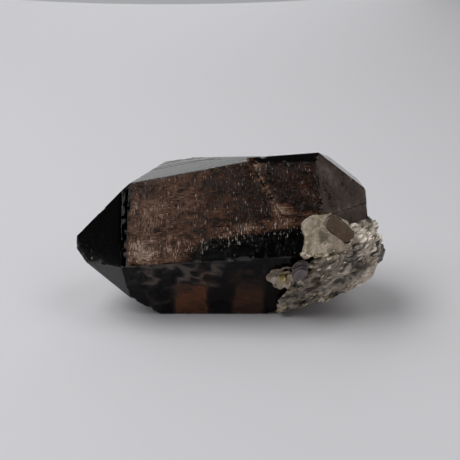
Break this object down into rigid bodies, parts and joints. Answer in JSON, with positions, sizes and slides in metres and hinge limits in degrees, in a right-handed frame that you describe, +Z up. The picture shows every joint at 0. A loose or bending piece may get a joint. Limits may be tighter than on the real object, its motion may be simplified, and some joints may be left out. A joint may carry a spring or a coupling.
{
  "type": "smoky quartz crystal",
  "caption": "Six-sided smoky quartz point lying on a prism face, with mica and feldspar crust on its base end.",
  "frame": {"origin": "middle of the specimen's box, on the surface that it lies on", "axes": "+X along the crystal from its tip to its crusted base, +Y away from its front side, +Z up"},
  "size_m": [0.0776, 0.047, 0.041],
  "materials": {
    "smoky_quartz": "glossy crystal faces, dark smoky brown, clear to cloudy inside",
    "granular_mica": "rough, granular, pale grey-tan",
    "feldspar": "smooth, waxy, pale tan",
    "tan_quartz": "smooth, slightly see-through, tan-brown",
    "pale_mica": "pearly leaves, pale tan",
    "grey_mica": "pearly leaves, violet-grey",
    "grey_quartz": "smooth, dull, grey-brown"
  },
  "bodies": {
    "root": {"smoky_quartz_crystal": "smoky_quartz", "mica_crust": "granular_mica", "feldspar_slab": "feldspar", "tan_crystal": "tan_quartz", "mica_rosette": "pale_mica", "grey_mica_book": "grey_mica", "end_crystal": "grey_quartz"}
  },
  "joints": []
}
